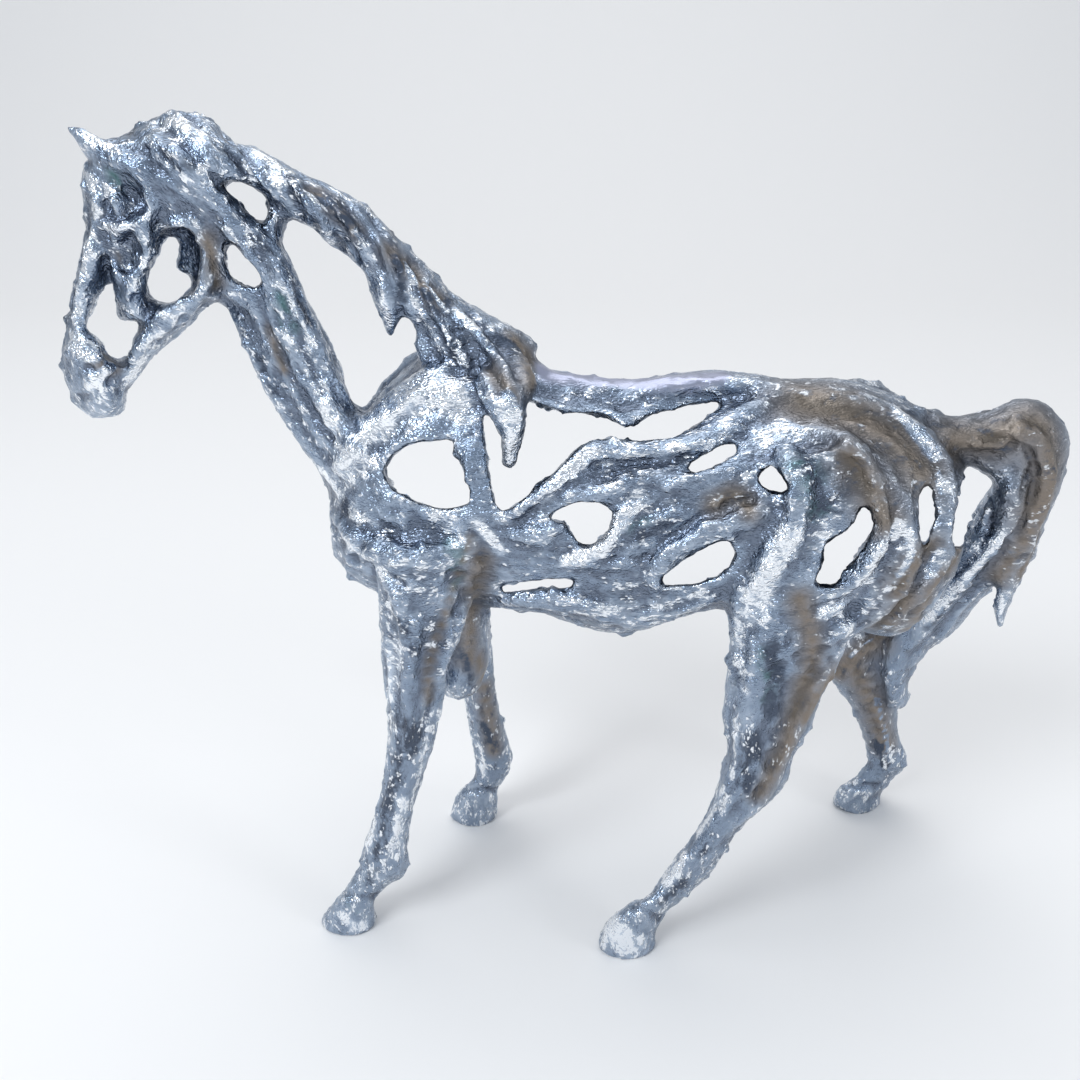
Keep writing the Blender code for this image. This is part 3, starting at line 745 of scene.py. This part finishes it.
# Painted brown reflections of the room
BROWN_REFLECTION_ZONES = {
    "rump": (0.024, [(805, 400), (845, 412), (895, 440), (920, 470)]),
    "haunch": (0.015, [(850, 455), (872, 490), (885, 520)]),
    "croup_edge": (0.012, [(930, 500), (925, 545), (900, 590)]),
    "thigh": (0.013, [(905, 600), (870, 645), (830, 680), (805, 720)]),
    "groin": (0.009, [(800, 600), (812, 640), (808, 690)]),
    "tail_top": (0.022, [(955, 440), (990, 440), (1035, 425), (1055, 470), (1040, 510)]),
    "tail_inside": (0.010, [(965, 520), (955, 560), (925, 600), (905, 640)]),
    "tail_back": (0.008, [(1048, 500), (1036, 540), (1020, 575)]),
    "crest_edge": (0.008, [(392, 250), (415, 275), (440, 300)]),
    "mane_end": (0.010, [(516, 340), (528, 358), (534, 385)]),
    "crest_under": (0.006, [(316, 190), (340, 212), (356, 232)]),
    "drip_root": (0.007, [(488, 366), (500, 380), (510, 396)]),
    "foreleg_back": (0.004, [(470, 540), (450, 600), (430, 660), (428, 700)]),
    "brisket": (0.009, [(480, 560), (472, 610), (470, 660)]),
    "far_foreleg": (0.008, [(480, 660), (488, 710), (494, 750)]),
    "hind_back": (0.009, [(805, 680), (795, 715), (785, 750), (760, 790)]),
    "far_hindleg": (0.012, [(850, 660), (870, 700), (885, 745)]),
    "nostril": (0.005, [(92, 358), (104, 364), (114, 368)]),
    "behind_jaw": (0.006, [(208, 240), (212, 265), (216, 285)]),
    "neck_streak": (0.003, [(268, 330), (276, 350), (284, 370)]),
    "flank": (0.008, [(715, 505), (735, 495), (750, 510)]),
    "eye_corner": (0.003, [(127, 205), (130, 208)]),
    "cheek_spot": (0.003, [(121, 252), (124, 260)]),
    "tail_low": (0.010, [(1045, 470), (1030, 530), (1000, 575)]),
}
# Painted teal reflections of the room
TEAL_REFLECTION_ZONES = {
    "foreleg": (0.005, [(452, 545), (456, 560), (452, 580)]),
    "neck": (0.005, [(280, 300), (286, 312), (290, 325)]),
    "rib": (0.006, [(640, 525), (655, 532), (668, 528)]),
    "hip": (0.009, [(800, 465), (812, 485), (822, 505)]),
    "gaskin": (0.005, [(765, 655), (768, 675), (766, 695)]),
    "brow": (0.004, [(112, 176), (120, 182), (128, 188)]),
    "hoof": (0.003, [(346, 900), (352, 906), (358, 910)]),
}
# Zones with fewer painted highlights: painted sheen and glints are lowered here
FEWER_HIGHLIGHT_ZONES = {
    "strut": (0.007, [(470, 440), (474, 470), (480, 500)]),
    "tail_tip": (0.008, [(900, 640), (898, 665), (896, 690)]),
    "thigh": (0.012, [(792, 615), (785, 655), (770, 700)]),
    "forehead": (0.006, [(130, 165), (150, 175), (170, 190)]),
    "tail": (0.024, [(955, 440), (1000, 440), (1040, 425), (1055, 480)]),
    "far_hindleg": (0.020, [(860, 670), (870, 720), (880, 770)]),
    "hind_middle": (0.008, [(780, 690), (765, 740), (740, 790), (700, 850)]),
    "foreleg_middle": (0.007, [(415, 640), (410, 720), (398, 790), (385, 850)]),
    "far_foreleg": (0.012, [(480, 660), (490, 710), (490, 770)]),
    "crest_end": (0.010, [(490, 345), (515, 360), (530, 385)]),
}
# Painted shade and dark reflections: zones darkened to stand in for shadows and reflected dark surroundings
PAINTED_DARK_ZONES = {
    "knee": (0.0075, [(402, 722), (412, 735), (408, 748)]),
    "cannon_top": (0.0045, [(398, 758), (396, 775), (392, 790)]),
    "cannon": (0.0040, [(389, 793), (386, 812), (382, 828)]),
    "fetlock": (0.0035, [(378, 842), (376, 856), (368, 885)]),
    "forearm": (0.0050, [(398, 622), (406, 634), (412, 645)]),
    "far_forearm": (0.0045, [(463, 655), (468, 675), (473, 695)]),
    "far_knee": (0.0045, [(484, 725), (490, 738), (496, 748)]),
    "gaskin": (0.0065, [(770, 650), (776, 680), (772, 712)]),
    "hock": (0.0055, [(752, 738), (750, 762), (746, 786)]),
    "shank": (0.0030, [(718, 818), (708, 842), (700, 856)]),
    "hind_pastern": (0.0050, [(684, 884), (674, 892), (662, 902)]),
    "far_hock": (0.0050, [(868, 735), (880, 750), (886, 765)]),
    "hip": (0.0070, [(804, 455), (816, 480), (822, 505)]),
    "rib": (0.0040, [(612, 478), (650, 470), (690, 458)]),
    "flank": (0.0045, [(640, 535), (660, 528), (676, 520)]),
    "chest": (0.0060, [(345, 505), (362, 522), (385, 530)]),
    "neck_back": (0.0035, [(262, 235), (285, 275), (305, 320)]),
    "neck_front": (0.0035, [(236, 312), (256, 352), (276, 392)]),
    "withers": (0.0050, [(448, 300), (458, 338), (474, 376)]),
    "crest_1": (0.0045, [(230, 152), (240, 168), (250, 182)]),
    "crest_2": (0.0050, [(288, 176), (304, 200), (318, 222)]),
    "crest_3": (0.0060, [(325, 200), (342, 216), (358, 238)]),
    "crest_4": (0.0040, [(392, 230), (398, 262), (400, 300)]),
    "crest_5": (0.0040, [(424, 290), (440, 320), (454, 352)]),
    "crest_6": (0.0060, [(490, 328), (504, 340), (516, 352)]),
    "crown": (0.0045, [(166, 152), (182, 166), (198, 160)]),
    "tail_drip": (0.0040, [(960, 590), (945, 610), (928, 628)]),
}
# A lighter painted reflection of the light from above, where the bump is also lowered
SMOOTH_SHEEN_ZONES = {
    "back": (0.006, [(546, 372), (600, 379), (660, 381), (718, 375)]),
}
ZONES = {  # with the share of its half width over which each zone fades out
    "rubbed": (PAINTED_HIGHLIGHT_ZONES, 0.5),
    "warm": (BROWN_REFLECTION_ZONES, 0.9),
    "green": (TEAL_REFLECTION_ZONES, 1.0),
    "dull": (FEWER_HIGHLIGHT_ZONES, 0.8),
    "dark": (PAINTED_DARK_ZONES, 0.9),
    "smoothed": (SMOOTH_SHEEN_ZONES, 0.4),
}


def point_values(mesh, name):
    found = np.empty(len(mesh.vertices) * 3)
    mesh.vertices.foreach_get(name, found)
    return found.reshape(-1, 3)


def hollows(mesh, rounds=8):
    """How deep each point lies below the points round it, as a share of HOLLOW_DEPTH."""
    count = len(mesh.vertices)
    places = point_values(mesh, "co")
    edges = np.empty(len(mesh.edges) * 2, np.int64)
    mesh.edges.foreach_get("vertices", edges)
    start, end = edges.reshape(-1, 2).T
    degree = np.bincount(start, minlength=count) + np.bincount(end, minlength=count)
    blurred = places
    for _ in range(rounds):
        blurred = np.stack([
            (np.bincount(start, blurred[end, k], count) + np.bincount(end, blurred[start, k], count)) / degree
            for k in range(3)
        ], 1)
    return ((blurred - places) * point_values(mesh, "normal")).sum(1) / HOLLOW_DEPTH


def zone(mesh, zones, fade):
    """1 on the skin along each zone's line, on both sides, fading to 0 over this share of its half width."""
    places = point_values(mesh, "co")
    found = np.zeros(len(places))
    for half_width, line in zones.values():
        for far in (False, True):
            for run in lay_line(line, far):
                gaps = [np.linalg.norm(places - np.array(point), axis=1) for point in run]
                near = np.clip((1 - np.min(gaps, axis=0) / half_width) / fade, 0, 1)
                found = np.maximum(found, near * (FAR_STRENGTH if far else 1))
    return found


def keep_values(mesh, name, values):
    mesh.attributes.new(name, "FLOAT", "POINT").data.foreach_set("value", values)


keep_values(finished, "hollow", np.clip(hollows(finished), *HOLLOW_RANGE))
for name, (zones, fade) in ZONES.items():
    keep_values(finished, name, zone(finished, zones, fade))

metal.use_nodes = True
tree = metal.node_tree
shader = tree.nodes["Principled BSDF"]


def colour_mix(factor, first, second):
    return add_node(tree, "ShaderNodeMix", {"data_type": "RGBA"}, {0: factor, 6: first, 7: second}, 2)


def kept(name):
    return add_node(tree, "ShaderNodeAttribute", {"attribute_name": name}, {}, "Fac")


def billow(size, detail=2.0):
    """Round blobs with sharp valleys between them, from 0 to 1."""
    return (flowing_noise(tree, places, size, detail) * 2 - 1).math("ABSOLUTE")


position = add_node(tree, "ShaderNodeTexCoord", {}, {}, "Object")
places = flow_places(tree, position)
hollow, rubbed, warm = (kept(name) for name in ("hollow", "rubbed", "warm"))
green, dull, dark, smoothed = (kept(name) for name in ("green", "dull", "dark", "smoothed"))
clouds = noise(tree, position, *CLOUDS)
patches = flowing_noise(tree, places, *PATCHES)
raised = billow(*BLOBS) * 0.5 + billow(*GRIT) * 0.5
mottle = flowing_noise(tree, places, *MOTTLE)

# Painted shade in the hollows and in the valleys between blobs, with tone that varies at random
shade = region(tree, hollow * 0.45 - raised * 0.9 + clouds * 0.5 + mottle * 0.7, *SHADE_RANGE)
# Painted brown reflection, broken up at random and kept off the highlight zones
painted_brown_reflection = warm * region(tree, clouds * 0.7 + mottle * 0.6 - rubbed * 0.6, *BROWN_RANGE)
# Painted teal reflection, in patches
painted_teal_reflection = green * region(tree, patches, *GREEN_RANGE)
# Painted shade and dark reflections in the dark zones, and a few dark specks in the valleys elsewhere
painted_darks = region(tree, dark * 0.4 + mottle + clouds * 0.3 - raised * 0.6 - rubbed * 0.2, *NIGHT_RANGE)
# Painted sheen, laid at random, thickest in the highlight zones, less in hollows and brown reflections
high = patches * 0.5 + mottle * 0.5 + rubbed * 0.3 - hollow * 0.12 - dull * 0.2 - warm * 0.1
painted_sheen = region(tree, high - dark * 0.15, *SHEEN_RANGE) * (1 - painted_brown_reflection * 0.6)
# Painted glints on the raised places, thickest in the highlight zones, fewer in hollows
glint_sum = raised + mottle * 0.6 + clouds * 0.2 + rubbed * 0.2 - hollow * 0.07 - dull * 0.07 - warm * 0.08
glint = region(tree, glint_sum, *GLINT_RANGE)

# Slate with painted shade, painted brown and teal reflections, painted darks, painted sheen and glints, and a
# painted reflection along the back
colour = colour_mix(shade, SLATE, SHADE)
colour = colour_mix(painted_brown_reflection, colour, colour_mix(shade, REFLECTED_BROWN, SHADED_BROWN))
colour = colour_mix(painted_teal_reflection, colour, REFLECTED_TEAL)
colour = colour_mix(painted_darks, colour, NIGHT)
colour = colour_mix(painted_sheen, colour, SHEEN_BLUE)
colour = colour_mix(glint * (1 - painted_brown_reflection * 0.3), colour, GLINT_WHITE)
# Painted reflection of the light from above along the smoothed top of the back
colour = colour_mix(smoothed, colour, LAVENDER_SHEEN)
tree.links.new(colour.socket, shader.inputs["Base Color"])
shader.inputs["Metallic"].default_value = 1
rough = patches * 0.2 + 0.17 - rubbed * 0.08 - glint * 0.08 + painted_brown_reflection * 0.22 + smoothed * 0.12
tree.links.new(rough.socket, shader.inputs["Roughness"])
height = raised * (1 - smoothed * 0.85) * (1 - painted_brown_reflection * 0.35)
bump = add_node(tree, "ShaderNodeBump", {}, {"Strength": 1.0, "Distance": GRAIN_HEIGHT, "Height": height})
tree.links.new(bump.socket, shader.inputs["Normal"])

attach(casting, "root")
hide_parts("horse")


# The floor is a wide sheet of pale matt paper that lies flat under the horse and runs up behind it in one
# round curve, so that no edge shows.
FLOOR_HALF = 3.0
FLOOR_BACK = 2.2
SWEEP = 1.0
SWEEP_STEPS = 25
PAPER = (0.88, 0.86, 0.84, 1)
PAPER_ROUGHNESS = 0.9

floor_shape = bmesh.new()
profile = [(-FLOOR_HALF, 0)]
for angle in np.linspace(0, math.pi / 2, SWEEP_STEPS):
    profile.append((FLOOR_BACK - SWEEP + SWEEP * math.sin(angle), SWEEP - SWEEP * math.cos(angle)))
profile.append((FLOOR_BACK, FLOOR_HALF))
sides = [[floor_shape.verts.new((x, y, z)) for y, z in profile] for x in (-FLOOR_HALF, FLOOR_HALF)]
for i in range(len(profile) - 1):
    floor_shape.faces.new((sides[0][i], sides[1][i], sides[1][i + 1], sides[0][i + 1]))
floor = mesh_object("floor", mesh_from("floor", floor_shape))
floor.data.shade_smooth()
paper = bpy.data.materials.new("pale_paper")
paper.use_nodes = True
paper.node_tree.nodes["Principled BSDF"].inputs["Base Color"].default_value = PAPER
paper.node_tree.nodes["Principled BSDF"].inputs["Roughness"].default_value = PAPER_ROUGHNESS
floor.data.materials.append(paper)


# Soft light comes from a wide window high on the left, a smaller one on the right, a pale ceiling and a dim
# blue room. Each lamp is turned towards the middle of the horse.
LAMP_AIM = Vector((0, 0, 0.17))
ROOM = (0.66, 0.72, 0.80, 1)
ROOM_STRENGTH = 0.7
LAMPS = {  # place, width, power and tint
    "window": ((-0.8, -0.9, 1.3), 0.6, 12, (0.90, 0.95, 1.0)),
    "side_window": ((1.3, -0.8, 0.8), 0.4, 3, (0.92, 0.96, 1.0)),
    "ceiling": ((0, 0.6, 2.6), 2.4, 28, (1.0, 1.0, 1.0)),
}
for name, (spot, width, power, tint) in LAMPS.items():
    lamp = bpy.data.lights.new(name, "AREA")
    lamp.size = width
    lamp.energy = power
    lamp.color = tint
    lamp_object = bpy.data.objects.new(name, lamp)
    lamp_object.location = spot
    lamp_object.rotation_euler = (LAMP_AIM - Vector(spot)).to_track_quat("-Z", "Y").to_euler()
    bpy.context.scene.collection.objects.link(lamp_object)

world = bpy.data.worlds.new("room")
bpy.context.scene.world = world
world.use_nodes = True
world.node_tree.nodes["Background"].inputs["Color"].default_value = ROOM
world.node_tree.nodes["Background"].inputs["Strength"].default_value = ROOM_STRENGTH
bpy.context.scene.view_settings.view_transform = "Standard"


# The camera stands at the eye from which the lines were drawn, a little above the horse's left side, and
# looks down at the same angle with a lens of the same reach.
SENSOR = 36

camera = bpy.data.cameras.new("camera")
camera.sensor_width = SENSOR
camera.lens = SENSOR * SHEET_FOCUS / (2 * SHEET_CENTRE)
camera_object = bpy.data.objects.new("camera", camera)
camera_object.location = EYE
camera_object.rotation_euler = (math.pi / 2 - LOOK_DOWN, 0, 0)
bpy.context.scene.collection.objects.link(camera_object)
bpy.context.scene.camera = camera_object
